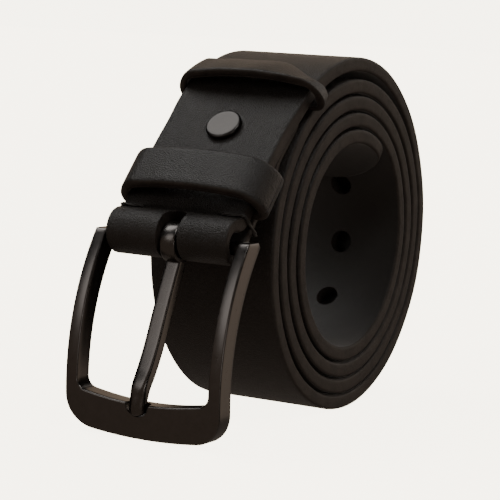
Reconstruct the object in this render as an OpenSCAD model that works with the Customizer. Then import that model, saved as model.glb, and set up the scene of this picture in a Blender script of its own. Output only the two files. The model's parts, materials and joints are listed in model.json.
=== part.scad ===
// Leather belt, rolled up, with a single-prong buckle hanging in front of the coil.
// X runs across the strap, Y from the buckle (-) to the coil (+), Z is up.
// The coil and the buckle's lower edge both stand on Z = 0. Sizes are in millimetres.

/* [Strap] */
// Width of the strap
strap_w = 38; // [37:0.5:39]
// Width of the trimmed flap that folds round the buckle bar
flap_w = 36.8; // [36:0.2:37]
// Thickness of the strap leather
strap_t = 4; // [3.6:0.1:4]
// Thickness of the thinned layer folded back behind the flap
back_t = 2; // [1.6:0.1:2]

/* [Coil] */
// Outer radius of the coil at its lowest point
coil_r = 48.3; // [48:0.1:50]
// Radius lost in each full turn, leather and air together
turn_pitch = 4.7; // [4.6:0.05:4.8]
// How far the outermost turn stands off the next one at the top
coil_lift = 1.45; // [1.4:0.05:1.8]
// Angle, back from the top, where the flap leaves the coil
leave_a = -41.6; // [-42:0.1:-41]
// Angle, wound from the top, where the strap's tip ends
tip_a = 1494; // [1480:1:1500]
// Length of the rounded tip
tip_len = 14.5; // [12:0.5:16]

/* [Punched holes] */
// Number of adjustment holes
hole_n = 5; // [3:2:7]
// Distance between two adjustment holes
hole_gap = 19; // [18:1:26]
// Distance from the tip to the first hole
hole_first = 115.5; // [105:0.5:125]
// Radius of a punched hole
hole_r = 3.3; // [2.5:0.1:3.5]

/* [Flap and fold] */
// Radius of the flap's gentle bow
flap_r = 254; // [240:1:270]
// Length of the flap from the coil to the tacks
flap_len = 39; // [38.5:0.1:39.5]
// Outer radius of the leather rolled round the bar
fold_r = 6.2; // [6:0.1:6.4]
// Inner radius of the rolled leather
fold_bore_r = 3.6; // [3.5:0.1:3.8]
// Depth of the roll's centre under the flap's outer face
fold_drop = 2.5; // [2.3:0.1:2.7]
// Radius of the crease between the flap and the roll
crease_r = 3; // [2.8:0.1:3.2]
// Half width of the slot for the prong
slot_r = 3.2; // [3:0.1:3.4]

/* [Keepers] */
// Length of each keeper along the strap
keeper_len = 13; // [12:0.5:14]
// Free height inside the lower keeper for the strap's tail
tail_room = 4.5; // [4.2:0.1:5]
// Wall of a keeper in front
keeper_wall = 2.6; // [2.2:0.1:3]
// Middle of the lower keeper, along the flap from the coil
keeper_s = 30.5; // [30:0.1:31]
// Angle of the upper keeper's front edge on the coil
loop_front_a = -37.1; // [-38:0.1:-36]
// Angle of the upper keeper's rear edge on the coil
loop_rear_a = -23; // [-24:0.1:-22]
// Sideways play taken up by the upper keeper
loop_shift = 0.6; // [0:0.1:0.6]
// Sideways play taken up by the lower keeper
keeper_shift = 1.1; // [0:0.1:1.1]

/* [Buckle] */
// Outer width of the buckle frame
frame_w = 46.6; // [46:0.2:48]
// Width inside the frame
throat_w = 39.4; // [39:0.2:40]
// Depth of the frame, front to back
frame_d = 6; // [5.6:0.1:6.2]
// Radius of the frame's curved front
frame_r = 65.3; // [65:0.1:66]
// Height of the lower cross bar at its middle
rail_h = 9.6; // [9:0.1:10]
// Radius of the pin that the leather is folded round
pin_r = 1.8; // [1.6:0.1:1.9]
// Width of the prong
prong_w = 4.6; // [4.2:0.1:4.8]
// Thickness of the prong's shank
prong_t = 3.6; // [3.4:0.1:3.8]
// Radius of the prong's eye
eye_r = 5.4; // [5.2:0.1:5.6]

/* [Fastenings] */
// Distance of the screw from the coil, along the flap
screw_s = 10.7; // [10.5:0.1:11]
// Radius of the screw's flat cap
cap_r = 5; // [4.5:0.1:5.2]
// Radius of the screw's barrel
barrel_r = 2.5; // [2:0.1:2.6]
// Radius of the tack thread
thread_r = 0.5; // [0.4:0.05:0.6]

/* [Hidden] */
$fn = 96;
coil_z = coil_r + 0.01;
segments = 200;
slack = 0.35;

// Place on the coil: angle from the top, growing towards the back of the coil
function pol(r, a) = [r * sin(a), r * cos(a)];
function ease(t) = t <= 0 ? 0 : t >= 1 ? 1 : t * t * (3 - 2 * t);
function turn_r(a) = coil_r - turn_pitch * (a - 180) / 360 + coil_lift * ease(1 - a / 120);
function arc_deg(len, r) = len / r * 180 / PI;

// Place on the flap: s along it from the coil, off above its outer face
leave_pt = pol(turn_r(leave_a), leave_a);
flap_c = leave_pt - flap_r * pol(1, leave_a);
function flap_a(s) = leave_a - arc_deg(s, flap_r);
function flap_pt(s, off = 0) = flap_c + (flap_r + off) * pol(1, flap_a(s));

// Place at the fold: u down from the end of the flap, v above its outer face
fold_a = flap_a(flap_len);
down = [-cos(fold_a), sin(fold_a)];
function fold_pt(u, v) = flap_pt(flap_len) + u * down + v * pol(1, fold_a);
roll_u = sqrt(pow(fold_r + crease_r, 2) - pow(crease_r + fold_drop, 2));
crease_a = atan2(roll_u, crease_r + fold_drop);
roll_c = fold_pt(roll_u, -fold_drop);

// The pin hangs low in the roll
pin_c = roll_c + (fold_bore_r - pin_r - 0.1) * [-0.29, -0.957];

// The frame's curved front is centred behind the buckle
lean = 34;
frame_c = pin_c + (frame_r - frame_d / 2) * [cos(lean), -sin(lean)];
frame_bottom = 0.05 - coil_z;
bar_front = frame_c[0] - sqrt(pow(frame_r, 2) - pow(frame_bottom + rail_h - frame_c[1], 2));

// The prong runs from its eye to a round tip resting in the notch of the lower cross bar
rest_c = [bar_front + 0.5, frame_bottom + rail_h + 0.1];
notch_r = 3.6;
eye_gap = 0.1;
tip_ball = 2.1;
prong_tip = rest_c + [0.2, -0.7];
prong_knee = prong_tip + [0.5, 5];
shank_root = pin_c + (eye_r - 1.2) * [0.25, -0.968];

// Brings the middle of the whole length to Y = 0
coil_y = (tip_ball - prong_tip[0] - turn_r(89)) / 2;

// Adjustment holes: angle of the hole that is s from the tip along the leather
tip_r = turn_r(tip_a) - strap_t / 2;
shrink = turn_pitch / 360;
function hole_a(s) = tip_a - (sqrt(tip_r * tip_r + 2 * shrink * s * 180 / PI) - tip_r) / shrink;

// Upper keeper: radii from the coil's axis
loop_back_r = 46.72;
loop_back_t = 1.2;
loop_front_r = 59.5;
loop_rear_r = 55.05;
loop_thin = 2;
loop_half = 22.7;
loop_wall = 2.4;

// Screw: depths under the flap's outer face
stack = strap_t + back_t;
head_sunk = 0.4;
head_h = 0.8;
head_r = 4.4;
shank_r = 1.5;

// Everything below is drawn about the coil's axis and then set on the ground
module set_down() { translate([0, coil_y, coil_z]) children(); }

// Extrudes a side outline, drawn in Y and Z, across the belt
module across(w) { rotate([90, 0, 90]) linear_extrude(w, center = true) children(); }

// Stands local Z along the normal at angle a; local Y follows the wound leather
module stand(a, p) { translate([0, p[0], p[1]]) rotate([-a, 0, 0]) children(); }

// Points along an arc
function arc(c, r, a0, a1, n) = [
    for (i = [0:n]) let (a = a0 + (a1 - a0) * i / n) c + r * [cos(a), sin(a)]];

// Outline of a keeper's loop, with its own corner radius behind and in front
module hoop(half, low, high, low_r, high_r) {
    polygon(concat(arc([half - low_r, low + low_r], low_r, -90, 0, 8),
                   arc([half - high_r, high - high_r], high_r, 0, 90, 12),
                   arc([high_r - half, high - high_r], high_r, 90, 180, 12),
                   arc([low_r - half, low + low_r], low_r, 180, 270, 8)));
}

// ---- strap ----

// Band of leather between two angles of the spiral, grown by g on both faces
module wound(a0, a1, n, g = 0) {
    angles = [for (i = [0:n]) a0 + (a1 - a0) * i / n];
    outer = [for (a = angles) pol(turn_r(a) + g, a)];
    inner = [for (i = [n:-1:0]) pol(turn_r(angles[i]) - strap_t - g, angles[i])];
    polygon(concat(outer, inner));
}

module flap_outline() {
    steps = [for (s = [0:flap_len / 6:flap_len + 0.01]) s];
    last = len(steps) - 1;
    polygon(concat([for (s = steps) flap_pt(s)],
                   [for (i = [last:-1:0]) flap_pt(steps[i], -strap_t)]));
    // crease that lifts the leather on to the roll
    turns = [for (i = [0:6]) crease_a * i / 6];
    polygon(concat(
        [for (t = turns) fold_pt(crease_r * sin(t), crease_r * (1 - cos(t)))],
        [for (i = [6:-1:0]) fold_pt((crease_r + strap_t) * sin(turns[i]),
                                    crease_r - (crease_r + strap_t) * cos(turns[i]))]));
}

// Layer folded back behind the flap; it steps out round the lower keeper's back wall
module back_layer_outline() {
    pinch = -strap_t;
    stepped = -fold_drop - fold_bore_r;
    keeper_top = keeper_s - keeper_len / 2;
    keeper_low = keeper_s + keeper_len / 2;
    stations = [[2, pinch, back_t / 2], [5, pinch, back_t], [screw_s + head_r + 1, pinch, back_t],
                [keeper_top - 0.5, stepped, back_t], [keeper_low + 0.5, stepped, back_t]];
    last = len(stations) - 1;
    polygon(concat(
        [for (p = stations) flap_pt(p[0], p[1])],
        [fold_pt(roll_u, stepped), fold_pt(roll_u, -fold_drop - fold_r)],
        [for (i = [last:-1:0]) flap_pt(stations[i][0], stations[i][1] - stations[i][2])]));
}

module fold_outline() {
    difference() {
        union() {
            flap_outline();
            back_layer_outline();
            translate(roll_c) circle(fold_r);
        }
        translate(roll_c) circle(fold_bore_r);
    }
}

// Trims the flap a little narrower than the strap
module flap_plan() {
    y0 = leave_pt[0];
    half = strap_w / 2;
    trim = flap_w / 2;
    translate([0, 0, -20]) linear_extrude(80) polygon([
        [half, 0], [half, y0], [trim, y0 - 9], [trim, y0 - 45],
        [-trim, y0 - 45], [-trim, y0 - 9], [-half, y0], [-half, 0]]);
}

// Leather outside the rounded tip: half an ellipse, seen from the coil's axis
module tip_offcut() {
    start_a = tip_a - arc_deg(tip_len, tip_r);
    mid_a = (start_a + tip_a) / 2;
    reach = tip_r * sin((tip_a - start_a) / 2);
    difference() {
        across(strap_w + 2) wound(start_a, tip_a + 1, 8, slack / 2);
        stand(mid_a, [0, 0]) linear_extrude(coil_r) polygon(concat(
            [for (t = [0:5:180]) [strap_w / 2 * cos(t), 2 * reach * sin(t) - reach]],
            [[-strap_w, -reach], [-strap_w, -strap_w], [strap_w, -strap_w], [strap_w, -reach]]));
    }
}

module adjustment_holes() {
    for (i = [0:hole_n - 1]) {
        a = hole_a(hole_first + i * hole_gap);
        stand(a, pol(turn_r(a) - strap_t - slack / 2, a)) cylinder(r = hole_r, h = strap_t + slack);
    }
}

module prong_slot() {
    slot_u = 1.8 + slot_r;
    stand(fold_a, fold_pt(slot_u, -15)) {
        cylinder(r = slot_r, h = 30);
        translate([-slot_r, -25, 0]) cube([2 * slot_r, 25, 30]);
    }
}

module screw_hole() {
    stand(flap_a(screw_s), flap_pt(screw_s)) {
        translate([0, 0, -stack - 1]) cylinder(r = barrel_r, h = stack + 2);
        translate([0, 0, -stack - 1]) cylinder(r = head_r, h = 1 + head_sunk);
    }
}

module strap() set_down() color([0.10, 0.09, 0.085]) difference() {
    union() {
        across(strap_w) wound(leave_a, tip_a, segments);
        intersection() {
            across(strap_w) fold_outline();
            flap_plan();
        }
        // shared stretch that joins the flap to the coil
        across(strap_w) polygon([
            flap_pt(-0.4), flap_pt(0.4), flap_pt(0.4, -strap_t), flap_pt(-0.4, -strap_t)]);
    }
    tip_offcut();
    adjustment_holes();
    prong_slot();
    screw_hole();
    for (side = [-1, 1]) tack_bore(side);
}

// ---- keepers ----

// Lower keeper: a loop round the front layer, its back wall under the folded layer
keeper_back = strap_t + 1.95;
keeper_in_half = 19.6;
keeper_side = 2.6;
module lower_keeper() set_down() color([0.13, 0.115, 0.105])
    difference() {
        stand(flap_a(keeper_s), flap_pt(keeper_s)) translate([keeper_shift, 0, 0]) rotate([90, 0, 0])
            linear_extrude(keeper_len, center = true) difference() {
                hoop(keeper_in_half + keeper_side, -keeper_back, tail_room + keeper_wall, 4, 5);
                hoop(keeper_in_half, -strap_t - 0.1, tail_room, 0.2, 2.6);
            }
        lower_staple_shape();
    }

// Upper keeper: slack loop tilted on the shoulder of the coil
module loop_side(front_r, rear_r, back_r) {
    polygon([pol(front_r, loop_front_a), pol(rear_r, loop_rear_a),
             for (i = [0:4]) pol(back_r, loop_rear_a + (loop_front_a - loop_rear_a) * i / 4)]);
}
module loop_front(half, low, high, low_r, high_r) {
    mid_a = (loop_front_a + loop_rear_a) / 2;
    stand(mid_a, [0, 0]) rotate([90, 0, 0])
        linear_extrude(30, center = true) hoop(half, low, high, low_r, high_r);
}
module upper_keeper() set_down() color([0.13, 0.115, 0.105])
    difference() {
        translate([loop_shift, 0, 0]) difference() {
            intersection() {
                across(2 * loop_half) loop_side(loop_front_r, loop_rear_r, loop_back_r);
                loop_front(loop_half, loop_back_r - 1, loop_front_r, 4, 6);
            }
            intersection() {
                across(2 * (loop_half - loop_wall)) loop_side_inner();
                loop_front(loop_half - loop_wall, loop_back_r + loop_back_t - 1,
                           loop_front_r - keeper_wall, 0.8, 3.6);
            }
        }
        upper_staple_shape();
    }
// The inside runs a little past both edges, so that the loop is open there
module loop_side_inner() {
    past = 2;
    front_a = loop_front_a - past;
    rear_a = loop_rear_a + past;
    slope = (loop_front_r - keeper_wall - loop_rear_r + loop_thin) / (loop_rear_a - loop_front_a);
    polygon([pol(loop_front_r - keeper_wall + slope * past, front_a),
             pol(loop_rear_r - loop_thin - slope * past, rear_a),
             for (i = [0:6]) pol(loop_back_r + loop_back_t, rear_a + (front_a - rear_a) * i / 6)]);
}

// Wire staple that closes a keeper's two ends: crown outside, two legs through the leather
module staple(leg) {
    crown = 8;
    wire = 0.5;
    flat = 1.2;
    translate([-crown / 2, -flat / 2, 0]) cube([crown, flat, wire]);
    for (x = [-crown / 2, crown / 2 - wire]) translate([x, -flat / 2, 0]) cube([wire, flat, leg]);
}
module lower_staple_shape() {
    stand(flap_a(keeper_s), flap_pt(keeper_s)) translate([0, 0, -keeper_back]) staple(1.6);
}
module upper_staple_shape() {
    mid_a = (loop_front_a + loop_rear_a) / 2;
    stand(mid_a, pol(loop_back_r + 0.1, mid_a)) staple(1);
}
module lower_keeper_staple() set_down() color("silver") lower_staple_shape();
module upper_keeper_staple() set_down() color("silver") upper_staple_shape();

// ---- screw through the flap ----

module screw_post() set_down() color([0.35, 0.34, 0.33])
    stand(flap_a(screw_s), flap_pt(screw_s)) difference() {
        union() {
            cylinder(r = cap_r, h = 0.8);
            translate([0, 0, 0.8]) cylinder(r1 = cap_r, r2 = cap_r - 0.6, h = 0.5);
            translate([0, 0, head_sunk - stack]) cylinder(r = barrel_r, h = stack - head_sunk);
        }
        translate([0, 0, head_sunk - stack - 1]) cylinder(r = shank_r, h = stack - 1);
    }

module back_screw() set_down() color([0.35, 0.34, 0.33])
    stand(flap_a(screw_s), flap_pt(screw_s)) translate([0, 0, head_sunk - stack]) difference() {
        union() {
            translate([0, 0, -head_h]) cylinder(r = head_r, h = head_h);
            cylinder(r = shank_r, h = stack - 2.4);
        }
        translate([-head_r - 1, -0.45, -head_h - 1]) cube([2 * head_r + 2, 0.9, 1.4]);
    }

// ---- tacks: one stitch of waxed thread round each edge of the flap ----

tack_u = 0.9;
tack_top = crease_r - sqrt(pow(crease_r, 2) - pow(tack_u, 2)) + 0.06;
tack_low = -fold_drop - fold_r + 0.38;
tack_in = 12.2;
tack_out = flap_w / 2 + thread_r + 0.02;

module tack_rod(x0, z0, x1, z1) {
    rise = z1 - z0;
    run = x1 - x0;
    translate([x0, 0, z0]) rotate([0, atan2(run, rise), 0]) cylinder(r = thread_r, h = norm([run, rise]));
    translate([x0, 0, z0]) sphere(thread_r);
}
module tack(side) set_down() color([0.05, 0.05, 0.05]) {
    top = tack_top + thread_r;
    low = tack_low - thread_r;
    stand(fold_a, fold_pt(tack_u, 0)) mirror([side < 0 ? 1 : 0, 0, 0]) {
        tack_rod(tack_in, top, tack_out, top);
        tack_rod(tack_out, top, tack_out, low);
        tack_rod(tack_out, low, tack_in, low);
        tack_rod(tack_in, low, tack_in, top);
    }
}
module tack_bore(side) {
    stand(fold_a, fold_pt(tack_u, -12)) translate([side * tack_in, 0, 0]) cylinder(r = thread_r, h = 16);
}
module tack_left() tack(-1);
module tack_right() tack(1);

// ---- buckle ----

// Outline of the frame seen from the front: bowed lower edge, round corners
module bowed(half, low, bow_r, corner_r) {
    cx = half - corner_r;
    cz = low + bow_r - sqrt(pow(bow_r - corner_r, 2) - cx * cx);
    top = pin_c[1] + 12;
    bow_a = asin(cx / (bow_r - corner_r));
    polygon(concat([[half, top]],
                   arc([cx, cz], corner_r, 0, bow_a - 90, 10),
                   arc([0, low + bow_r], bow_r, bow_a - 90, -bow_a - 90, 24),
                   arc([-cx, cz], corner_r, -bow_a - 90, -180, 10),
                   [[-half, top]]));
}

// Side outline of the frame: a curved band that ends in flat-topped ears at the pin
module frame_side() {
    ear_r = frame_d / 2;
    ear_top = 1.9;
    low_a = 200;
    top_a = 180 - asin((pin_c[1] + ear_top - frame_c[1]) / frame_r);
    polygon(concat(arc(frame_c, frame_r, low_a, top_a, 30),
                   arc(pin_c, ear_r, asin(ear_top / ear_r), -lean, 10),
                   arc(frame_c, frame_r - frame_d, 180 - lean, low_a, 28)));
}

module buckle_frame() set_down() color([0.22, 0.21, 0.21]) difference() {
    intersection() {
        across(frame_w) frame_side();
        rotate([90, 0, 0]) linear_extrude(100) difference() {
            bowed(frame_w / 2, frame_bottom, 125, 8.5);
            bowed(throat_w / 2, frame_bottom + rail_h, 90, 3);
        }
    }
    translate([0, rest_c[0], rest_c[1]]) sphere(notch_r);
    across(2 * pin_reach) translate(pin_c) circle(pin_r);
}

pin_reach = frame_w / 2 - 1.3;
module buckle_pin() set_down() color([0.30, 0.29, 0.29]) across(2 * pin_reach) translate(pin_c) circle(pin_r);

// Prong: eye, straight shank and round tip
module bar_2d(p, q, t) {
    v = q - p;
    translate(p) rotate(atan2(v[1], v[0])) translate([0, -t / 2]) square([norm(v), t]);
    for (c = [p, q]) translate(c) circle(t / 2);
}
module prong() set_down() color([0.30, 0.29, 0.29]) difference() {
    union() {
        across(prong_w) {
            translate(pin_c) circle(eye_r);
            bar_2d(shank_root, prong_knee, prong_t);
        }
        translate([0, prong_tip[0], prong_tip[1]]) sphere(tip_ball);
        stand(atan2(prong_knee[0] - prong_tip[0], prong_knee[1] - prong_tip[1]), prong_tip)
            cylinder(r = tip_ball, h = norm(prong_knee - prong_tip));
    }
    across(prong_w + 2) translate(pin_c) circle(pin_r + eye_gap);
}

strap();
lower_keeper();
upper_keeper();
lower_keeper_staple();
upper_keeper_staple();
screw_post();
back_screw();
tack_left();
tack_right();
buckle_frame();
buckle_pin();
prong();
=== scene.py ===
import json
import math

import bpy
import numpy as np
from mathutils import Matrix, Vector


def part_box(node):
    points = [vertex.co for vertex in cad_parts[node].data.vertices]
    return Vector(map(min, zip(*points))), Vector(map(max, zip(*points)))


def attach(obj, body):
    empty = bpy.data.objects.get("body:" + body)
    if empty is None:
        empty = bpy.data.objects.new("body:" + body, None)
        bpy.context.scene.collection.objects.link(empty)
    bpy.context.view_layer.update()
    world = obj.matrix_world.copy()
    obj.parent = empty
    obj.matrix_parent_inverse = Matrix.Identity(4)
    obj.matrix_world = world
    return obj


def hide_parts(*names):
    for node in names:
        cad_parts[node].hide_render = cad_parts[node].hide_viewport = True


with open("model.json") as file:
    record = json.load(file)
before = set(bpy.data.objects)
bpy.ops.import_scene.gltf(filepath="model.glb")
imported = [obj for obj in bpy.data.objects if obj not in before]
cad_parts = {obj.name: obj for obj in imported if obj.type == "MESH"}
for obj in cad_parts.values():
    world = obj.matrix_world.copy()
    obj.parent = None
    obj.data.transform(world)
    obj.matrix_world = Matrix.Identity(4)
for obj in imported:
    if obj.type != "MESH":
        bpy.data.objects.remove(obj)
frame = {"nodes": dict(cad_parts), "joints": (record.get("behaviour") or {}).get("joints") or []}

# A rolled leather belt. All shapes are worked out in millimetres about the coil's
# axis, where y runs to the back and z up, and placed in the frame in metres.
MM = 0.001
JOINTS = {joint["name"]: joint for joint in frame["joints"]}
COIL_AXIS = Vector(JOINTS["keeper_slide"]["pos_m"])
PIN_AXIS = Vector(JOINTS["buckle_swing"]["pos_m"])
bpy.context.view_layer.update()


def size_of(node):
    low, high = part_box(node)
    return (high - low) / MM


# ---- sizes: millimetres, and degrees back from the coil's top where a name ends in _A ----

# Strap: the coil and its rounded inner tip
STRAP_HALF = size_of("strap").x / 2
STRAP_T = 4.0
BACK_T = 2.0
COIL_R = 48.3
PITCH = 4.7
LIFT = 1.45
LEAVE_A = -41.6
TIP_A = 1494.0
TIP_LEN = 14.5
TIP_STOPS = (0.0, 0.05, 0.15, 0.3, 0.5, 0.8, 1.2, 1.7, 2.3, 3.0, 3.8, 4.7, 5.7, 6.8, 8.0)
TURN_RINGS = 1020

# Adjustment holes, the first one HOLE_FIRST from the tip, and about how long the coil is
HOLE_R = 3.3
HOLE_FIRST = 115.5
HOLE_GAP = 19.0
HOLES = 5
COIL_LEN = 1050.0

# Flap, the roll round the buckle's pin, the layer folded back behind it, and the prong's slot
FLAP_R = 254.0
FLAP_LEN = 39.0
FLAP_HALF = 18.4
FLAP_NARROWS = 11.0
BACK_HALF = 17.8
BACK_END = 2.5
FOLD_R = 6.2
FOLD_T = 2.6
FOLD_DROP = 2.5
CREASE_R = 3.0
SLOT_R = 3.2
SLOT_X = 0.5
SLOT_TOP = 1.8

# Lower keeper and screw, at their distances along the flap
KEEPER_S = 30.5
KEEPER_SHIFT = 1.1
SCREW_S = 10.7
CAP_R = 5.0
BARREL_R = 2.5

# Buckle frame and prong
FRAME_HALF = size_of("buckle_frame").x / 2
THROAT_HALF = 19.7
FRAME_R = 65.3
FRAME_D = 6.0
RAIL_H = 9.6
EAR_TOP = 1.9
LEAN = 34.0
PRONG_W = 4.6
PRONG_EYE_X = 0.5
PRONG_TIP_X = -1.25
EYE_R = 5.4
EYE_BORE_R = 1.9
NOTCH_R = 3.6
TIP_BALL = 2.35


# ---- places ----

def sin(a):
    return math.sin(math.radians(a))


def cos(a):
    return math.cos(math.radians(a))


def pol(r, a):
    """Point at radius r and angle a, measured back from the coil's top."""
    return np.array([r * sin(a), r * cos(a)])


def ease(t):
    t = min(max(t, 0.0), 1.0)
    return t * t * (3 - 2 * t)


def mix(a, b, t):
    return a + (b - a) * t


def turn_r(a):
    return COIL_R - PITCH * (a - 180) / 360 + LIFT * ease(1 - a / 120)


LEAVE_PT = pol(turn_r(LEAVE_A), LEAVE_A)
FLAP_C = LEAVE_PT - FLAP_R * pol(1, LEAVE_A)


def flap_a(s):
    return LEAVE_A - math.degrees(s / FLAP_R)


def flap_pt(s, off=0.0):
    return FLAP_C + (FLAP_R + off) * pol(1, flap_a(s))


FOLD_A = flap_a(FLAP_LEN)
DOWN = np.array([-cos(FOLD_A), sin(FOLD_A)])
OUT = pol(1, FOLD_A)


def fold_pt(u, v):
    return flap_pt(FLAP_LEN) + u * DOWN + v * OUT


ROLL_U = math.sqrt((FOLD_R + CREASE_R) ** 2 - (CREASE_R + FOLD_DROP) ** 2)
CREASE_A = math.degrees(math.atan2(ROLL_U, CREASE_R + FOLD_DROP))
PIN_C = np.array([PIN_AXIS.y - COIL_AXIS.y, PIN_AXIS.z - COIL_AXIS.z]) / MM
FRAME_C = PIN_C + (FRAME_R - FRAME_D / 2) * np.array([cos(LEAN), -sin(LEAN)])
FLOOR_Z = -COIL_AXIS.z / MM
FRAME_LOW = FLOOR_Z + 0.05


def place(x, p):
    """A point x mm across the belt and p mm from the coil's axis, in the frame, in metres."""
    return Vector((x * MM, p[0] * MM + COIL_AXIS.y, p[1] * MM + COIL_AXIS.z))


def stand(a, p, v):
    """A point v of a piece that stands on p, its z along the normal at angle a."""
    return place(v[0], p + v[1] * np.array([cos(a), -sin(a)]) + v[2] * pol(1, a))


# ---- mesh tools ----

def new_object(name, points, faces):
    mesh = bpy.data.meshes.new(name)
    mesh.from_pydata([tuple(p) for p in points], [], faces)
    mesh.validate()
    mesh.update()
    mesh.polygons.foreach_set("use_smooth", [True] * len(mesh.polygons))
    obj = bpy.data.objects.new(name, mesh)
    bpy.context.scene.collection.objects.link(obj)
    return obj


def grid_faces(rings, count, close_rings=False, flip=False):
    """Quads between rings of count points each."""
    faces = []
    for i in range(rings if close_rings else rings - 1):
        j = (i + 1) % rings
        for k in range(count):
            m = (k + 1) % count
            quad = (i * count + k, i * count + m, j * count + m, j * count + k)
            faces.append(quad[::-1] if flip else quad)
    return faces


def caps(rings, count, flip=False):
    """Faces that close the first and the last ring."""
    first = tuple(range(count))
    last = tuple((rings - 1) * count + k for k in range(count))
    return [first, last[::-1]] if flip else [first[::-1], last]


def tube(name, rings, flip=False):
    """Closed piece through rings of points."""
    count = len(rings[0])
    return new_object(name, [p for ring in rings for p in ring],
                      grid_faces(len(rings), count, flip=flip) + caps(len(rings), count, flip))


def apply_modifiers(obj):
    depsgraph = bpy.context.evaluated_depsgraph_get()
    mesh = bpy.data.meshes.new_from_object(obj.evaluated_get(depsgraph), depsgraph=depsgraph)
    obj.modifiers.clear()
    old = obj.data
    obj.data = mesh
    bpy.data.meshes.remove(old)


def combine(obj, tools, operation):
    """Joins or cuts obj with the tools, which are used up."""
    for tool in tools:
        step = obj.modifiers.new("tool", "BOOLEAN")
        step.operation = operation
        step.solver = "EXACT"
        step.object = tool
    apply_modifiers(obj)
    for tool in tools:
        bpy.data.objects.remove(tool)


def sharpen(obj, angle):
    """Smooth shading that keeps edges steeper than angle crisp."""
    obj.data.polygons.foreach_set("use_smooth", [True] * len(obj.data.polygons))
    obj.data.set_sharp_from_angle(angle=math.radians(angle))


def turned_faces(steps, count):
    """Quads round a turned outline of count points, its open ends closed by a face."""
    faces = []
    for i in range(steps):
        j = (i + 1) % steps
        for k in range(count - 1):
            faces.append((i * count + k, j * count + k, j * count + k + 1, i * count + k + 1))
    faces.append(tuple(i * count for i in range(steps))[::-1])
    faces.append(tuple(i * count + count - 1 for i in range(steps)))
    return faces


def lathe(name, outline, axis_a, axis_p, steps=96, across=0.0):
    """Turned about the normal at angle axis_a: outline is (radius, height) pairs."""
    points = []
    for i in range(steps):
        t = 2 * math.pi * i / steps
        for r, h in outline:
            points.append(stand(axis_a, axis_p, (across + r * math.cos(t), r * math.sin(t), h)))
    return new_object(name, points, turned_faces(steps, len(outline)))


def turned_across(name, profile, steps=72):
    """Turned about the pin: profile is (across, radius) pairs."""
    points = []
    for i in range(steps):
        t = 360 * i / steps
        for x, r in profile:
            points.append(place(x, PIN_C + r * np.array([cos(t), sin(t)])))
    return new_object(name, points, turned_faces(steps, len(profile)))


def dress(obj, body, materials, node):
    """Gives a piece its materials, the body it rides on and the CAD node it replaces."""
    for material in materials:
        obj.data.materials.append(material)
    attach(obj, body)
    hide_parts(node)


# ---- materials ----

class Recipe:
    """A node material under construction: object coordinates in, one Principled shader out."""

    def __init__(self, name, **sockets):
        self.material = bpy.data.materials.new(name)
        self.material.use_nodes = True
        self.tree = self.material.node_tree
        self.shader = self.tree.nodes["Principled BSDF"]
        self.coords = self.tree.nodes.new("ShaderNodeTexCoord").outputs["Object"]
        self.normal = None
        for socket, value in sockets.items():
            self.shader.inputs[socket.replace("_", " ")].default_value = value

    def node(self, kind, **settings):
        node = self.tree.nodes.new(kind)
        for key, value in settings.items():
            setattr(node, key, value)
        return node

    def link(self, a, b):
        self.tree.links.new(a, b)

    def stretch(self, scale):
        mapping = self.node("ShaderNodeMapping")
        mapping.inputs["Scale"].default_value = scale
        self.link(self.coords, mapping.inputs["Vector"])
        return mapping.outputs["Vector"]

    def noise(self, size_mm, detail=3.0, rough=0.55, scale=(1, 1, 1)):
        noise = self.node("ShaderNodeTexNoise")
        noise.inputs["Scale"].default_value = 1 / (size_mm * MM)
        noise.inputs["Detail"].default_value = detail
        noise.inputs["Roughness"].default_value = rough
        self.link(self.stretch(scale), noise.inputs["Vector"])
        return noise.outputs["Fac"]

    def cells(self, size_mm):
        """Rounded cells, as in pebbled grain."""
        cells = self.node("ShaderNodeTexVoronoi", feature="SMOOTH_F1")
        cells.inputs["Scale"].default_value = 1 / (size_mm * MM)
        self.link(self.stretch((1, 1, 1)), cells.inputs["Vector"])
        return cells.outputs["Distance"]

    def ramp(self, value, stops):
        ramp = self.node("ShaderNodeValToRGB")
        while len(ramp.color_ramp.elements) < len(stops):
            ramp.color_ramp.elements.new(0.5)
        for element, (at, shade) in zip(ramp.color_ramp.elements, stops):
            element.position = at
            element.color = (*shade, 1) if isinstance(shade, tuple) else (shade, shade, shade, 1)
        self.link(value, ramp.inputs["Fac"])
        return ramp.outputs["Color"]

    def math(self, operation, a, b):
        node = self.node("ShaderNodeMath", operation=operation)
        for socket, value in zip(node.inputs, (a, b)):
            if isinstance(value, (int, float)):
                socket.default_value = value
            else:
                self.link(value, socket)
        return node.outputs[0]

    def mixed(self, a, share, b):
        """share of a and the rest of b."""
        return self.math("ADD", self.math("MULTIPLY", a, share), self.math("MULTIPLY", b, 1 - share))

    def bump(self, height, depth_mm, strength=1.0):
        """Adds a layer of relief to those before it."""
        bump = self.node("ShaderNodeBump")
        bump.inputs["Strength"].default_value = strength
        bump.inputs["Distance"].default_value = depth_mm * MM
        self.link(height, bump.inputs["Height"])
        if self.normal is not None:
            self.link(self.normal, bump.inputs["Normal"])
        self.normal = bump.outputs["Normal"]

    def finish(self, colour=None, roughness=None):
        if colour is not None:
            self.link(colour, self.shader.inputs["Base Color"])
        if roughness is not None:
            self.link(roughness, self.shader.inputs["Roughness"])
        if self.normal is not None:
            self.link(self.normal, self.shader.inputs["Normal"])
        return self.material


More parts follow.
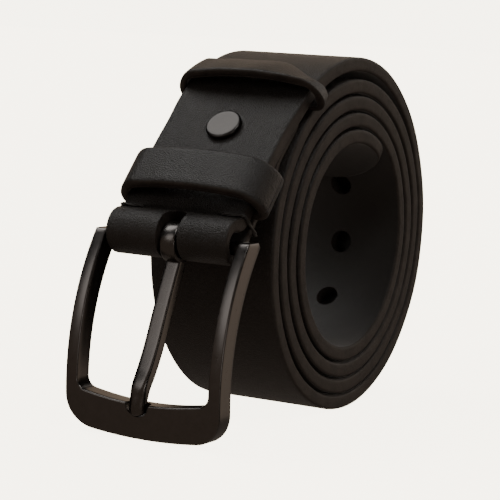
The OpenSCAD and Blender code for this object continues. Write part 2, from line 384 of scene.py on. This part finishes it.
def grain_leather(name, dark, light, rough_low, rough_high, grain=0.045):
    """Smooth black full-grain side: pebble grain, pores and slow undulation."""
    r = Recipe(name, IOR=1.46, Sheen_Weight=0.06, Sheen_Roughness=0.4)
    r.bump(r.noise(11, 2), 0.16, 0.35)
    r.bump(r.cells(0.36), grain * 4)
    r.bump(r.noise(0.22, 4, 0.65), grain * 3)
    cloud = r.noise(14, 4, 0.6)
    pores = r.noise(0.35, 3, 0.6)
    colour = r.ramp(cloud, [(0.35, dark), (0.65, light)])
    rough = r.ramp(r.mixed(cloud, 0.5, pores), [(0.3, rough_low), (0.7, rough_high)])
    return r.finish(colour, rough)


def edge_leather(name, dark, light):
    """Cut edge: rough burnished fibres."""
    r = Recipe(name, IOR=1.42)
    fibres = r.noise(0.5, 5, 0.7)
    r.bump(fibres, 0.16, 0.8)
    r.bump(r.noise(2.6, 3), 0.3, 0.5)
    colour = r.ramp(r.mixed(fibres, 0.6, r.noise(5, 2)), [(0.35, dark), (0.7, light)])
    rough = r.ramp(fibres, [(0.3, 0.5), (0.7, 0.72)])
    return r.finish(colour, rough)


def flesh_leather(name, dark, light):
    """Back of the strap: close matt nap."""
    r = Recipe(name, IOR=1.4, Sheen_Weight=0.25, Sheen_Roughness=0.6)
    nap = r.noise(0.3, 5, 0.7)
    r.bump(nap, 0.06, 0.8)
    r.bump(r.noise(4, 3), 0.2, 0.4)
    colour = r.ramp(r.mixed(nap, 0.5, r.noise(10, 3)), [(0.3, dark), (0.7, light)])
    rough = r.ramp(nap, [(0.3, 0.6), (0.7, 0.78)])
    return r.finish(colour, rough)


def satin_metal(name, dark, light, rough_low, rough_high):
    """Plated zinc with a fine blasted texture and faint handling marks."""
    r = Recipe(name, Metallic=1.0)
    speckle = r.noise(0.16, 3, 0.6)
    marks = r.noise(2.4, 4, 0.65)
    r.bump(speckle, 0.006, 0.7)
    r.bump(r.noise(2.2, 2), 0.02, 0.3)
    colour = r.ramp(r.mixed(speckle, 0.35, marks), [(0.35, dark), (0.7, light)])
    rough = r.ramp(marks, [(0.3, rough_low), (0.7, rough_high)])
    return r.finish(colour, rough)


def waxed_thread(name, dark, light):
    """Thread: strands drawn out across the belt."""
    r = Recipe(name, IOR=1.45)
    strands = r.noise(0.18, 4, 0.7, scale=(0.4, 1, 1))
    r.bump(strands, 0.08, 0.9)
    colour = r.ramp(strands, [(0.3, dark), (0.7, light)])
    rough = r.ramp(strands, [(0.3, 0.4), (0.7, 0.6)])
    return r.finish(colour, rough)


GRAIN = grain_leather("strap_grain", (0.0085, 0.0069, 0.0060), (0.0150, 0.0121, 0.0104), 0.32, 0.46)
EDGE = edge_leather("strap_edge", (0.011, 0.0087, 0.0072), (0.046, 0.0365, 0.0305))
FLESH = flesh_leather("strap_flesh", (0.0058, 0.0047, 0.0040), (0.0115, 0.0095, 0.0082))
LOOP = grain_leather("keeper_grain", (0.0072, 0.0058, 0.0051), (0.0125, 0.0100, 0.0088), 0.32, 0.44,
                     grain=0.032)
FRAME_METAL = satin_metal("gunmetal", (0.098, 0.092, 0.089), (0.115, 0.108, 0.105), 0.27, 0.32)
PRONG_METAL = satin_metal("gunmetal_prong", (0.088, 0.083, 0.080), (0.108, 0.101, 0.098), 0.25, 0.31)
CAP_METAL = satin_metal("screw_satin", (0.044, 0.042, 0.041), (0.062, 0.059, 0.057), 0.28, 0.36)
STEEL = satin_metal("steel_wire", (0.42, 0.42, 0.41), (0.55, 0.55, 0.54), 0.3, 0.42)
THREAD = waxed_thread("waxed_thread", (0.009, 0.0085, 0.008), (0.035, 0.033, 0.031))


# ---- strap: one sheet of leather swept from its tip to the end of its fold ----

def tip_half(d):
    """Half width d from the tip, which is rounded off to half an ellipse."""
    short = max(0.0, 1 - d / TIP_LEN)
    return max(1.2, STRAP_HALF * math.sqrt(1 - short * short))


def coil_stations():
    """Stations from the tip to where the flap leaves the coil."""
    mid_r = turn_r(TIP_A) - STRAP_T / 2
    stops = [TIP_A - math.degrees(d / mid_r) for d in TIP_STOPS]
    stations = [(pol(turn_r(a), a), STRAP_T, tip_half(d)) for a, d in zip(stops, TIP_STOPS)]
    for a in np.linspace(stops[-1] - 1.5, LEAVE_A, TURN_RINGS):
        half = tip_half(math.radians(TIP_A - a) * mid_r)
        stations.append((pol(turn_r(a), a), STRAP_T, half))
    return stations


def flap_stations():
    stations = []
    for s in np.arange(1.0, FLAP_LEN, 0.9):
        stations.append((flap_pt(s), STRAP_T, mix(STRAP_HALF, FLAP_HALF, ease(s / FLAP_NARROWS))))
    return stations


CREASE_RINGS = 10
ROLL_RINGS = 59
THIN_RINGS = 33


def roll_stations():
    """Round the crease and the roll, where the leather thins over the first THIN_RINGS."""
    stations = []
    for i, t in enumerate(np.linspace(0, CREASE_A, CREASE_RINGS)):
        thickness = mix(STRAP_T, FOLD_T, ease(i / THIN_RINGS))
        stations.append((fold_pt(CREASE_R * sin(t), CREASE_R * (1 - cos(t))), thickness, FLAP_HALF))
    roll_from = math.degrees(math.atan2(CREASE_R + FOLD_DROP, -ROLL_U))
    for i, t in enumerate(np.linspace(roll_from, -90, ROLL_RINGS + 1)[1:]):
        point = fold_pt(ROLL_U + FOLD_R * cos(t), -FOLD_DROP + FOLD_R * sin(t))
        thickness = mix(STRAP_T, FOLD_T, ease((CREASE_RINGS + i) / THIN_RINGS))
        stations.append((point, thickness, mix(FLAP_HALF, BACK_HALF, ease(i / (ROLL_RINGS - 1)))))
    return stations


KEEPER_CLEAR_S = 23.4
PINCH_LEN = KEEPER_CLEAR_S - SCREW_S - 5.4
PINCH_GAP = 0.12
SKIVE_FROM = 6.0
SKIVE_LEN = 4.0
SKIVE_T = 1.0


def back_stations():
    """The folded layer: behind the lower keeper, then pinched to the flap by the screw and skived."""
    stations = []
    behind = -FOLD_DROP - FOLD_R
    stepped = behind + FOLD_T - BACK_T
    for u in np.arange(ROLL_U - 1, -1.0, -1):
        t = ease((ROLL_U - u) / (ROLL_U + 1.5))
        stations.append((fold_pt(u, mix(behind, stepped, t)), mix(FOLD_T, BACK_T, t), BACK_HALF))
    pinched = -STRAP_T - BACK_T - PINCH_GAP
    for s in np.arange(FLAP_LEN - 2, BACK_END, -1.0):
        rise = ease((KEEPER_CLEAR_S - s) / PINCH_LEN)
        thickness = mix(BACK_T, SKIVE_T, ease((SKIVE_FROM - s) / SKIVE_LEN))
        top = mix(stepped, pinched, rise) + BACK_T - thickness
        stations.append((flap_pt(s, top), thickness, BACK_HALF))
    return stations


TOP_STEPS = 26
CORNER_STEPS = 4
SIDE_STEPS = 3


def strap_section(half, thickness):
    """Closed section: (across, height, kind), kind 0 for grain, 1 for cut edge and 2 for flesh side."""
    e = min(0.8, thickness * 0.3, half * 0.5)
    points = []

    def line(x0, z0, x1, z1, steps, kind):
        for i in range(steps):
            points.append((mix(x0, x1, i / steps), mix(z0, z1, i / steps), kind))

    def corner(cx, cz, start, kinds):
        for i in range(CORNER_STEPS):
            t = start - 90 * i / CORNER_STEPS
            points.append((cx + e * cos(t), cz + e * sin(t), kinds[i]))

    low = -thickness
    line(-half + e, 0, half - e, 0, TOP_STEPS, 0)
    corner(half - e, -e, 90, (0, 0, 1, 1))
    line(half, -e, half, low + e, SIDE_STEPS, 1)
    corner(half - e, low + e, 0, (1, 1, 1, 2))
    line(half - e, low, -half + e, low, TOP_STEPS, 2)
    corner(-half + e, low + e, -90, (2, 1, 1, 1))
    line(-half, low + e, -half, -e, SIDE_STEPS, 1)
    corner(-half + e, -e, 180, (1, 1, 0, 0))
    return points


TACK_U = 0.9
TACK_IN = 12.2
TACK_PULL = 0.55
CAP_PULL = 0.22
CAP_PULL_REACH = 2.2
INNER_DRIFT = 0.8


def dimple(x, s):
    """How far the flap's face is pulled in at x across, s along: at the tacks and under the cap."""
    depth = 0.0
    tack_s = FLAP_LEN + TACK_U
    for side in (-1, 1):
        along = s - tack_s
        across = 1.0 if side * x > TACK_IN else max(0.0, 1 - abs(side * x - TACK_IN) / 1.2)
        depth += TACK_PULL * math.exp(-along * along) * across
    from_cap = math.hypot(x, s - SCREW_S)
    return depth + CAP_PULL * ease((CAP_R + CAP_PULL_REACH - from_cap) / CAP_PULL_REACH)


def waver(along, coil_len):
    """Sideways drift of the coil's turns and swell of their half width, along mm from the tip."""
    settle = ease((coil_len - along) / 60)
    drift = 0.16 * math.sin(along / 47) + 0.10 * math.sin(along / 19 + 1.3)
    swell = 0.05 * math.sin(along / 11.0) + 0.04 * math.sin(along / 4.3 + 2)
    return (drift + INNER_DRIFT * (1 - along / coil_len)) * settle, swell * settle


def build_strap():
    stations = coil_stations() + flap_stations() + roll_stations() + back_stations()
    line = np.array([p for p, _, _ in stations])
    tangent = np.gradient(line, axis=0)
    tangent /= np.linalg.norm(tangent, axis=1)[:, None]
    run = np.concatenate([[0], np.cumsum(np.linalg.norm(np.diff(line, axis=0), axis=1))])
    coil_len = run[np.argmin(np.linalg.norm(line - LEAVE_PT, axis=1))]
    rings, kinds = [], []
    for (p, thickness, half), (ty, tz), along in zip(stations, tangent, run):
        normal = np.array([tz, -ty])
        drift, swell = waver(along, coil_len)
        s = along - coil_len
        ring = []
        for x, z, kind in strap_section(half + swell, thickness):
            if kind == 0 and -10 < s < FLAP_LEN + 8:
                z -= dimple(x, s)
            ring.append(place(x + drift, p + z * normal))
            kinds.append(kind)
        rings.append(ring)
    strap = tube("strap_leather", rings, flip=True)
    for material in (GRAIN, EDGE, FLESH):
        strap.data.materials.append(material)
    for polygon in strap.data.polygons:
        is_cap = len(polygon.vertices) > 4
        polygon.material_index = 1 if is_cap else kinds[polygon.vertices[0]]
    combine(strap, strap_cutters(), "DIFFERENCE")
    sharpen(strap, 50)
    dress(strap, "belt", (), "strap")


def rod(name, r, a, p, low, high, across=0.0):
    """Straight round cutter along the normal at angle a."""
    cutter = lathe(name, [(r, low), (r, high)], a, p, 48, across)
    cutter.data.materials.append(EDGE)
    return cutter


def strap_cutters():
    shrink = PITCH / 360
    tip_r = turn_r(TIP_A) - STRAP_T / 2
    cutters = []
    for i in range(HOLES):
        s = HOLE_FIRST + HOLE_GAP * i
        a = TIP_A - (math.sqrt(tip_r ** 2 + 2 * shrink * math.degrees(s)) - tip_r) / shrink
        across = INNER_DRIFT * (1 - s / COIL_LEN)
        inner_side = pol(turn_r(a) - STRAP_T, a)
        cutters.append(rod(f"punch_{i}", HOLE_R, a, inner_side, -0.3, STRAP_T + 0.3, across))
    cutters.append(rod("screw_bore", BARREL_R, flap_a(SCREW_S), flap_pt(SCREW_S), -8, 2))
    cutters.append(slot_cutter())
    return cutters


def slot_cutter():
    """Round-ended slot through both layers of the roll."""
    outline = [(SLOT_X + SLOT_R * cos(t), SLOT_R * sin(t)) for t in np.linspace(0, 180, 25)]
    outline += [(SLOT_X - SLOT_R, -25), (SLOT_X + SLOT_R, -25)]
    base = fold_pt(SLOT_TOP + SLOT_R, 0)
    cutter = tube("slot_tool", [[stand(FOLD_A, base, (x, y, z)) for x, y in outline] for z in (-15, 15)])
    cutter.data.materials.append(EDGE)
    return cutter


# ---- keepers: bands bent into a closed loop ----

def loop_outline(half, low, high, low_r, high_r, bow):
    """Closed outline, anticlockwise from the middle of the back, with a bowed front."""
    points = []

    def line(x0, y0, x1, y1, steps):
        for i in range(steps):
            points.append((mix(x0, x1, i / steps), mix(y0, y1, i / steps)))

    def corner(cx, cy, r, start, steps):
        for i in range(steps):
            t = start + 90 * i / steps
            points.append((cx + r * cos(t), cy + r * sin(t)))

    line(0, low, half - low_r, low, 8)
    corner(half - low_r, low + low_r, low_r, -90, 8)
    line(half, low + low_r, half, high - high_r, 5)
    corner(half - high_r, high - high_r, high_r, 0, 12)
    line(half - high_r, high, -half + high_r, high, 36)
    corner(-half + high_r, high - high_r, high_r, 90, 12)
    line(-half, high - high_r, -half, low + low_r, 5)
    corner(-half + low_r, low + low_r, low_r, 180, 8)
    line(-half + low_r, low, 0, low, 8)
    middle = (low + high) / 2
    bowed = []
    for x, y in points:
        lift = ease((y - middle) / (high - middle))
        bowed.append((x, y + bow * lift * max(0.0, 1 - (x / half) ** 2)))
    return bowed


BAND_STEPS = 10
EDGE_ALONG = 0.9
EDGE_SHARE = 0.34
EDGE_TURNS = (0, 30, 60, 90)


def band_section(length):
    """Closed section of a band with rounded edges: (position along, share of the wall)."""
    half, flat = length / 2, length / 2 - EDGE_ALONG
    points = [(-half + length * i / BAND_STEPS, 0.0) for i in range(BAND_STEPS)]
    points += [(flat + EDGE_ALONG * sin(t), EDGE_SHARE * (1 - cos(t))) for t in EDGE_TURNS]
    points += [(flat + EDGE_ALONG * cos(t), 1 - EDGE_SHARE * (1 - sin(t))) for t in EDGE_TURNS]
    points += [(flat - 2 * flat * i / BAND_STEPS, 1.0) for i in range(1, BAND_STEPS)]
    points += [(-flat - EDGE_ALONG * sin(t), 1 - EDGE_SHARE * (1 - cos(t))) for t in EDGE_TURNS]
    points += [(-flat - EDGE_ALONG * cos(t), EDGE_SHARE * (1 - sin(t))) for t in EDGE_TURNS[:-1]]
    return points


def band(name, inner, outer, length, where):
    """Sweeps a band section round a loop. inner and outer give its outlines w mm along the strap."""
    section = band_section(length)
    outlines = [(inner(w), outer(w)) for w, _ in section]
    rings = len(inner(0.0))
    points = []
    for i in range(rings):
        for (w, share), (inside, outside) in zip(section, outlines):
            x = mix(inside[i][0], outside[i][0], share)
            h = mix(inside[i][1], outside[i][1], share)
            ripple = 0.05 * math.sin(i * 0.55) * share
            points.append(where(x, h + ripple, w))
    count = len(section)
    obj = new_object(name, points, grid_faces(rings, count, close_rings=True, flip=True))
    for polygon in obj.data.polygons:
        share = sum(section[v % count][1] for v in polygon.vertices) / 4
        reach = max(abs(section[v % count][0]) for v in polygon.vertices)
        at_side = reach > length / 2 - EDGE_ALONG * 0.6
        polygon.material_index = 1 if at_side and share < 0.93 else 2 if share < 0.5 else 0
    return obj


def build_lower_keeper():
    a, p = flap_a(KEEPER_S), flap_pt(KEEPER_S)
    length, lag = 12.2, 0.3

    def inner(w):
        return loop_outline(half=19.6, low=-4.1, high=2.6, low_r=1.2, high_r=4.6, bow=2.3)

    def outer(w):
        return loop_outline(half=22.2, low=-5.95, high=4.7, low_r=4.0, high_r=7.0, bow=2.6)

    def where(x, h, w):
        return stand(a, p, (x + KEEPER_SHIFT, w - lag, h))

    loop = band("lower_keeper_leather", inner, outer, length, where)
    dress(loop, "belt", (LOOP, EDGE, FLESH), "lower_keeper")


LOOP_FRONT_A = -37.1
LOOP_REAR_A = -23.0
LOOP_SIDE_A = -32.5
LOOP_MID_R = 53
LOOP_SHIFT = 0.6


def build_upper_keeper():
    """Drawn in radii from the coil's axis. It narrows from its front to its rear and on its near side."""
    length = math.radians(LOOP_REAR_A - LOOP_FRONT_A) * LOOP_MID_R

    def share(w):
        return 0.5 + w / length

    def inner(w):
        t = share(w)
        return loop_outline(half=20.3, low=47.95, high=mix(54.4, 52.7, t), low_r=1.2,
                            high_r=mix(3.0, 1.4, t), bow=mix(2.5, 0.15, t))

    def outer(w):
        t = share(w)
        return loop_outline(half=mix(22.65, 21.9, t), low=46.75, high=mix(56.5, 54.0, t), low_r=3.4,
                            high_r=mix(6.4, 3.6, t), bow=mix(2.9, 0.3, t))

    def where(x, r, w):
        rear = mix(LOOP_REAR_A, LOOP_SIDE_A, ease((x - 4) / 17))
        return place(x + LOOP_SHIFT, pol(r, mix(LOOP_FRONT_A, rear, share(w))))

    loop = band("upper_keeper_leather", inner, outer, length, where)
    dress(loop, "sliding_keeper", (LOOP, EDGE, FLESH), "upper_keeper")


# ---- screw ----

def build_screw():
    """Flat cap with a rounded rim, and the barrel with its bore, turned as (radius, height)."""
    axis, bore, r = 0.02, 1.5, CAP_R
    cap = [(axis, 1.18), (r - 1.6, 1.22), (r - 0.8, 1.24), (r - 0.45, 1.2), (r - 0.18, 1.08),
           (r - 0.04, 0.88), (r, 0.62), (r, 0.1), (r - 0.1, -0.12)]
    barrel = [(BARREL_R, -0.12), (BARREL_R, -5.6), (bore, -5.6), (bore, -1.6), (axis, -1.6)]
    post = lathe("screw_cap", (cap + barrel)[::-1], flap_a(SCREW_S), flap_pt(SCREW_S))
    sharpen(post, 35)
    dress(post, "belt", (CAP_METAL,), "screw_post")


# ---- paths ----

def smooth_path(points, steps):
    """Catmull-Rom curve through points."""
    padded = np.vstack([2 * points[0] - points[1], points, 2 * points[-1] - points[-2]])
    out = []
    for i in range(1, len(padded) - 2):
        p0, p1, p2, p3 = padded[i - 1:i + 3]
        for j in range(steps):
            t = j / steps
            out.append(0.5 * (2 * p1 + (p2 - p0) * t + (2 * p0 - 5 * p1 + 4 * p2 - p3) * t * t
                              + (3 * p1 - p0 - 3 * p2 + p3) * t ** 3))
    out.append(points[-1])
    return np.array(out)


def square_to(path, i):
    """Unit direction square to the path at its point i."""
    ahead = path[min(i + 1, len(path) - 1)] - path[max(i - 1, 0)]
    return np.array([-ahead[1], ahead[0]]) / np.linalg.norm(ahead)


# ---- tacks ----

PLY_SIDES = 10
PLY_R = 0.3
PLY_OFF = 0.22
PLY_TURN = 0.546


def build_tack(side, node):
    """One two-ply stitch: out of its hole, over the edge of the flap and in again behind."""
    top, low, out = 0.12, -8.55, FLAP_HALF + 0.35
    corners = [(TACK_IN, -3.4), (TACK_IN, top - 0.35), (TACK_IN + 0.5, top), (out - 0.9, top),
               (out - 0.15, top - 0.3), (out, top - 1.1), (out, low + 0.9), (out - 0.3, low + 0.2),
               (out - 1.1, low), (TACK_IN + 0.5, low), (TACK_IN, low + 0.5), (TACK_IN, -6.3)]
    path = smooth_path(np.array(corners), 8)
    base = fold_pt(TACK_U, 0)
    points, faces = [], []
    for start_turn in (0, math.pi):
        start = len(points)
        for i, (x, z) in enumerate(path):
            wide_x, wide_z = square_to(path, i)
            turn = i * PLY_TURN + start_turn
            for k in range(PLY_SIDES):
                t = 2 * math.pi * k / PLY_SIDES
                wide = PLY_OFF * math.cos(turn) + PLY_R * math.cos(t)
                deep = PLY_OFF * math.sin(turn) + PLY_R * math.sin(t)
                points.append(stand(FOLD_A, base, (side * (x + wide * wide_x), deep, z + wide * wide_z)))
        ply = grid_faces(len(path), PLY_SIDES) + caps(len(path), PLY_SIDES)
        faces += [tuple(v + start for v in face) for face in ply]
    if side > 0:
        faces = [face[::-1] for face in faces]
    tack = new_object(f"{node}_thread", points, faces)
    sharpen(tack, 60)
    dress(tack, "belt", (THREAD,), node)


# ---- buckle ----

ARM_STEPS = 26
BEND_STEPS = 12
BOW_STEPS = 18


def front_y(z, depth):
    """Where the frame's curved face stands at height z, depth behind its front."""
    return FRAME_C[0] - math.sqrt((FRAME_R - depth) ** 2 - (z - FRAME_C[1]) ** 2)


def half_outline(half, low, bow_r, corner_r):
    """Right half of a bowed, round-cornered outline: from the arm's top round to the middle.

    A point is (kind, x, z, foot): on an arm z is a share of the way from its end to its foot.
    """
    cx = half - corner_r
    cz = low + bow_r - math.sqrt((bow_r - corner_r) ** 2 - cx * cx)
    bow_a = math.degrees(math.asin(cx / (bow_r - corner_r)))
    points = [("arm", half, i / ARM_STEPS, cz) for i in range(ARM_STEPS)]
    for i in range(BEND_STEPS):
        t = mix(0, bow_a - 90, i / BEND_STEPS)
        points.append(("fixed", cx + corner_r * cos(t), cz + corner_r * sin(t), cz))
    for i in range(BOW_STEPS + 1):
        t = mix(bow_a - 90, -90, i / BOW_STEPS)
        points.append(("fixed", bow_r * cos(t), low + bow_r + bow_r * sin(t), cz))
    return points


def ear_top(depth):
    """Height of the arm's end, which is flat in front and rounded behind."""
    reach = depth - FRAME_D / 2
    ear_r = FRAME_D / 2
    rise = math.sqrt(max(0.0, ear_r ** 2 - max(0.0, reach) ** 2))
    return PIN_C[1] + min(EAR_TOP, rise - max(0.0, reach) * 0.35)


FRAME_EDGE = 0.6
QUARTER = (0, 22.5, 45, 67.5, 90)
FACE_DEPTHS = (1.8, 3.0, 4.2)
EAR_STEPS = ((0.0, 0.5), (0.15, 0.15), (0.5, 0.0))


def frame_section():
    """Bar section: (0 outer or 1 inner side, distance in from that side, depth), edges rounded."""
    e, d = FRAME_EDGE, FRAME_D
    section = [(0, e * (1 - sin(t)), e * (1 - cos(t))) for t in QUARTER]
    section += [(0, 0.0, depth) for depth in FACE_DEPTHS]
    section += [(0, e * (1 - cos(t)), d - e * (1 - sin(t))) for t in QUARTER]
    section += [(1, e * (1 - sin(t)), d - e * (1 - cos(t))) for t in QUARTER]
    section += [(1, 0.0, depth) for depth in FACE_DEPTHS[::-1]]
    section += [(1, e * (1 - cos(t)), e * (1 - sin(t))) for t in QUARTER]
    return section


def frame_ring(outer, inner, drop=0.0, trim=0.0):
    """One ring of the bar between two matched outline points; drop and trim round the arm's end."""
    ring = []
    for side, inset, depth in frame_section():
        depth = min(max(depth, trim), FRAME_D - trim)
        ends = []
        for kind, x, z, foot in (outer, inner):
            height = mix(ear_top(depth), foot, z) - drop if kind == "arm" else z
            ends.append(np.array([x, height]))
        ends = ends if side == 0 else ends[::-1]
        step = (ends[1] - ends[0]) / np.linalg.norm(ends[1] - ends[0])
        x, z = ends[0] + step * max(inset, trim)
        ring.append(place(x, (front_y(z, depth), z)))
    return ring


def build_frame():
    outer = half_outline(FRAME_HALF, FRAME_LOW, bow_r=125, corner_r=8.5)
    inner = half_outline(THROAT_HALF, FRAME_LOW + RAIL_H, bow_r=90, corner_r=3.0)
    half = [frame_ring(outer[0], inner[0], drop, trim) for drop, trim in EAR_STEPS]
    half += [frame_ring(o, i) for o, i in zip(outer[1:], inner[1:])]
    mirrored = [[Vector((-p.x, p.y, p.z)) for p in ring] for ring in half[-2::-1]]
    body = tube("buckle_frame_metal", half + mirrored, flip=True)
    notch = ball("notch_tool", NOTCH_R, rest_point(), PRONG_TIP_X)
    combine(body, [notch], "DIFFERENCE")
    sharpen(body, 40)
    dress(body, "buckle", (FRAME_METAL,), "buckle_frame")


def rest_point():
    """Where the prong's tip rests on the lower cross bar."""
    z = FRAME_LOW + RAIL_H
    return np.array([front_y(z, 0) + 0.5, z + 0.1])


def ball(name, r, p, across):
    outline = [(r * cos(t), r * sin(t)) for t in np.linspace(-89, 89, 40)]
    return lathe(name, outline, 0.0, p, 64, across)


PRONG_SIDES = 40


def prong_section(across, p, up, width, thickness, square):
    """Ring round the prong's middle line; square goes from 0, round, to 1, boxy."""
    power = 2 / mix(2.0, 7.0, square)
    ring = []
    for k in range(PRONG_SIDES):
        t = 360 * (k + 0.5) / PRONG_SIDES
        c, s = cos(t), sin(t)
        x = across + width / 2 * math.copysign(abs(c) ** power, c)
        h = thickness / 2 * math.copysign(abs(s) ** power, s)
        ring.append(place(x, p + h * up))
    return ring


def prong_path():
    """Middle line of the prong, from inside its eye down to the end of its tip."""
    tip = rest_point() + np.array([-0.1, -0.6])
    root = PIN_C + (EYE_R - 1.9) * np.array([0.25, -0.968])
    knee = tip + np.array([0.45, 5.2])
    along = knee - root
    bow = np.array([along[1], -along[0]]) / np.linalg.norm(along)
    shank = [root + along * t + bow * b for t, b in
             ((0, 0), (0.22, 0.10), (0.45, -0.05), (0.70, -0.42), (0.88, -0.30), (1, -0.05))]
    bend = [mix(knee, tip, 0.55) + bow * 0.12, tip,
            tip + np.array([0.45, -1.3]), tip + np.array([0.8, -1.95])]
    return smooth_path(np.array(shank + bend), 10)


def build_prong():
    """Boxy shank that turns round and wider towards its tip, fused with its eye and bored for the pin."""
    path = prong_path()
    rings = []
    for i, p in enumerate(path):
        t = i / (len(path) - 1)
        square = 1 - ease((t - 0.25) / 0.5)
        taper = math.sqrt(max(0.0, 1 - max(0.0, (t - 0.86) / 0.145) ** 2))
        width = taper * mix(PRONG_W - 0.1, 2 * TIP_BALL, ease((t - 0.3) / 0.5))
        thickness = taper * mix(3.6, 2 * TIP_BALL - 0.2, ease((t - 0.4) / 0.5))
        lean = ease(t * 1.05) * 0.6 + min(t * 1.05, 1) * 0.4
        across = mix(PRONG_EYE_X, PRONG_TIP_X, lean)
        rings.append(prong_section(across, p, square_to(path, i), width, thickness, square))
    shank = tube("prong_metal", rings, flip=True)
    combine(shank, [prong_eye()], "UNION")
    combine(shank, [turned_across("pin_bore", [(-8, EYE_BORE_R), (8, EYE_BORE_R)], 48)], "DIFFERENCE")
    sharpen(shank, 40)
    dress(shank, "tongue", (PRONG_METAL,), "prong")


def prong_eye():
    """Eye of the prong: a drum on the pin, slightly crowned, with softened rims."""
    half = PRONG_W / 2
    profile = [(-half, EYE_R - 0.55), (-half + 0.18, EYE_R - 0.2), (-half + 0.55, EYE_R - 0.03), (0, EYE_R),
               (half - 0.55, EYE_R - 0.03), (half - 0.18, EYE_R - 0.2), (half, EYE_R - 0.55)]
    return turned_across("eye_tool", [(x + PRONG_EYE_X, r) for x, r in profile])


# ---- studio ----

PAPER = (0.90, 0.835, 0.69)
FLOOR_R = 60.0
FLOOR_SIDES = 64
FLOOR_GLOW = 6.5
BACKDROP_GLOW = 7.0

# Name, direction that the light comes from, strength, spread in degrees, colour
LIGHTS = (
    ("key", (-0.47, 0.02, 0.88), 1.15, 36, (1.0, 0.985, 0.96)),
    ("top_right", (0.42, -0.25, 0.87), 0.75, 22, (1.0, 0.97, 0.94)),
    ("fill", (-0.33, -0.80, 0.46), 0.36, 30, (1.0, 0.97, 0.94)),
    ("side", (0.86, -0.45, 0.06), 0.22, 16, (1.0, 0.95, 0.90)),
    ("rim", (0.62, 0.78, 0.16), 0.30, 50, (1.0, 0.80, 0.62)),
    ("rear", (0.30, 0.84, 0.48), 0.38, 50, (1.0, 0.93, 0.86)),
    ("back", (-0.55, 0.80, 0.24), 0.12, 36, (1.0, 0.74, 0.50)),
    ("bounce", (0.05, -0.75, -0.40), 0.60, 140, (1.0, 0.78, 0.62)),
    ("rear_bounce", (0.0, 0.75, -0.40), 0.45, 140, (1.0, 0.84, 0.72)),
)


def build_camera():
    """A long lens, a little above the belt and to its right."""
    azimuth, elevation, roll = 28.34, 6.55, 3.10
    distance = 575.9
    look_at = place(-9.76, (0.82, -7.30))
    camera = bpy.data.cameras.new("camera")
    camera.lens = 142.08
    camera.sensor_width = 36
    camera.shift_x = -0.0249
    camera.shift_y = 0.0126
    camera.clip_end = 20
    camera.clip_start = 0.01
    turn = Matrix.Rotation(math.radians(azimuth), 4, "Z")
    turn @= Matrix.Rotation(math.radians(90 - elevation), 4, "X")
    turn @= Matrix.Rotation(math.radians(roll), 4, "Z")
    holder = bpy.data.objects.new("camera", camera)
    back = turn @ Vector((0, 0, 1))
    holder.matrix_world = Matrix.Translation(look_at + back * distance * MM) @ turn
    bpy.context.scene.collection.objects.link(holder)
    bpy.context.scene.camera = holder


def soft_light(name, come_from, strength, spread, colour):
    """Even light from far away, spread degrees wide, so that the floor is lit flat."""
    light = bpy.data.lights.new(name, "SUN")
    light.energy = strength
    light.angle = math.radians(spread)
    light.color = colour
    holder = bpy.data.objects.new(name, light)
    holder.rotation_euler = Vector(come_from).to_track_quat("Z", "Y").to_euler()
    bpy.context.scene.collection.objects.link(holder)


def build_studio():
    """Pale glowing floor and backdrop, which add no light to the belt, and soft lights."""
    paper = Recipe("pale_paper", Base_Color=(*PAPER, 1), Roughness=0.95, Specular_IOR_Level=0.0,
                   Emission_Color=(*PAPER, 1), Emission_Strength=FLOOR_GLOW)
    rim = [(FLOOR_R * cos(t), FLOOR_R * sin(t), 0) for t in np.arange(FLOOR_SIDES) * 360 / FLOOR_SIDES]
    wedges = [(0, 1 + i, 1 + (i + 1) % FLOOR_SIDES) for i in range(FLOOR_SIDES)]
    floor = new_object("floor", [(0, 0, 0)] + rim, wedges)
    floor.data.materials.append(paper.finish())
    floor.visible_diffuse = False
    floor.visible_glossy = False
    floor.visible_shadow = False

    world = bpy.data.worlds.new("studio")
    world.use_nodes = True
    backdrop = world.node_tree.nodes["Background"]
    backdrop.inputs["Color"].default_value = (*PAPER, 1)
    backdrop.inputs["Strength"].default_value = BACKDROP_GLOW
    bpy.context.scene.world = world
    world.cycles_visibility.diffuse = False
    world.cycles_visibility.glossy = False

    for light in LIGHTS:
        soft_light(*light)


# ---- CAD nodes that keep their own shape ----

KEPT_NODES = (
    ("back_screw", CAP_METAL, "screw_metal"),
    ("buckle_pin", FRAME_METAL, "buckle_metal"),
    ("lower_keeper_staple", STEEL, "staple_steel"),
    ("upper_keeper_staple", STEEL, "staple_steel"),
)


def finish_cad_nodes():
    for node, material, slot in KEPT_NODES:
        obj = frame["nodes"][node]
        obj.data.materials.clear()
        obj.data.materials.append(material)


build_camera()
build_studio()
build_strap()
build_lower_keeper()
build_upper_keeper()
build_screw()
build_tack(-1, "tack_left")
build_tack(1, "tack_right")
build_frame()
build_prong()
finish_cad_nodes()
